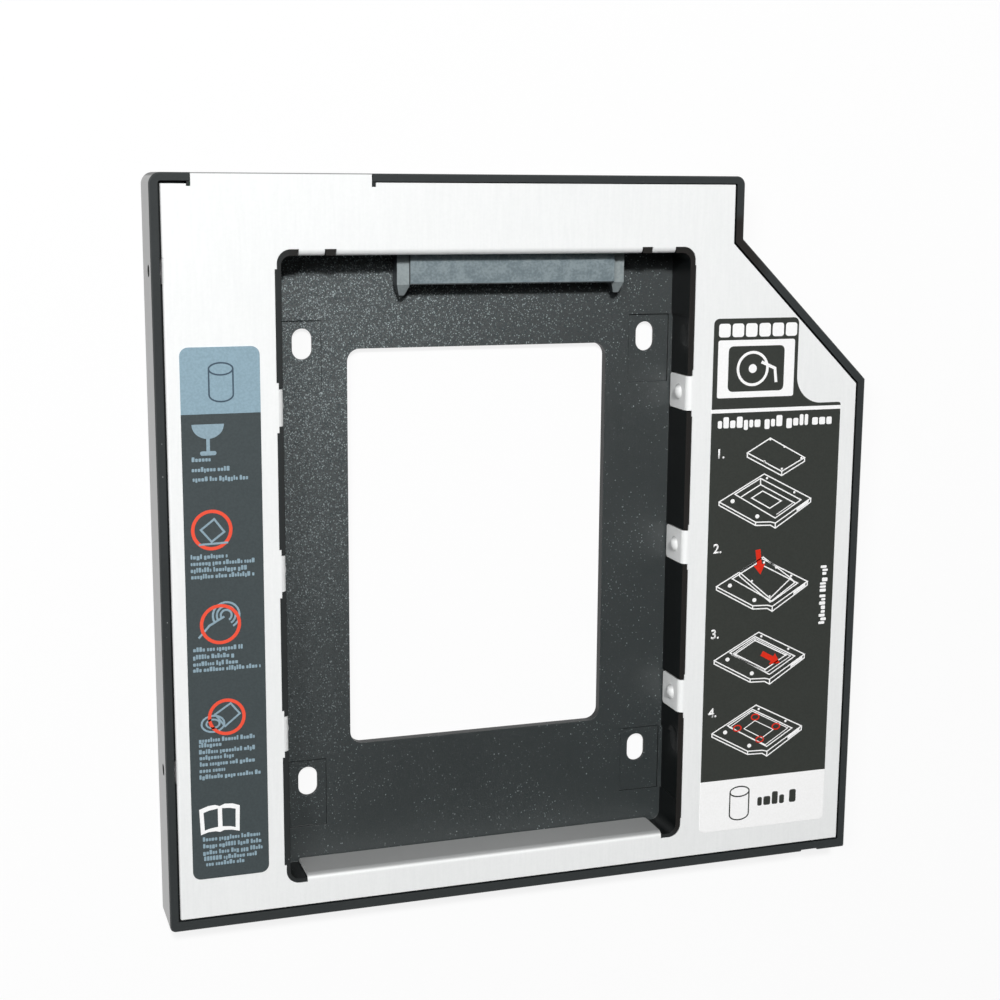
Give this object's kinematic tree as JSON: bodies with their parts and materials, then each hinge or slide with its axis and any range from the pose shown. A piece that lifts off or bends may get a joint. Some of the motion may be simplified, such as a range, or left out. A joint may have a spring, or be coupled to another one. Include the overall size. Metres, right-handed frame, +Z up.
{
  "type": "laptop drive caddy",
  "caption": "Slim black tray with a folded aluminium cover that carries a 2.5 inch drive in a laptop's optical bay, with the drive's socket in the well and a slim plug at the rear.",
  "frame": {"origin": "middle of the underside of the tray's bounding box", "axes": "+Z up through the cover, +Y towards the rear edge with the plug, +X towards the cut-off corner's side"},
  "size_m": [0.128, 0.126, 0.0095],
  "materials": {
    "black_plastic": "fine spark-eroded grain",
    "cover_sheet": "satin",
    "socket_plastic": "smooth moulded",
    "board_laminate": "solder mask gloss",
    "contact_metal": "gold plated",
    "screw_steel": "zinc plated",
    "lock_metal": "tin plated",
    "capacitor_ceramic": "fired ceramic",
    "resistor_body": "glazed",
    "left_label_print": "printed film",
    "right_label_print": "printed film"
  },
  "bodies": {
    "root": {"tray": "black_plastic", "top_cover": "cover_sheet", "left_label": "left_label_print", "right_label": "right_label_print", "circuit_board": "board_laminate", "board_screw_1": "screw_steel", "board_screw_2": "screw_steel", "board_capacitor_1": "capacitor_ceramic", "board_capacitor_2": "capacitor_ceramic", "board_capacitor_3": "capacitor_ceramic", "board_resistor_1": "resistor_body", "board_resistor_2": "resistor_body", "drive_socket_housing": "socket_plastic", "drive_socket_signal_contacts": "contact_metal", "drive_socket_power_contacts": "contact_metal", "socket_lock_left": "lock_metal", "socket_lock_right": "lock_metal", "rear_plug_housing": "socket_plastic", "rear_plug_signal_contacts": "contact_metal", "rear_plug_power_contacts": "contact_metal", "plug_lock_left": "lock_metal", "plug_lock_right": "lock_metal"}
  },
  "joints": []
}
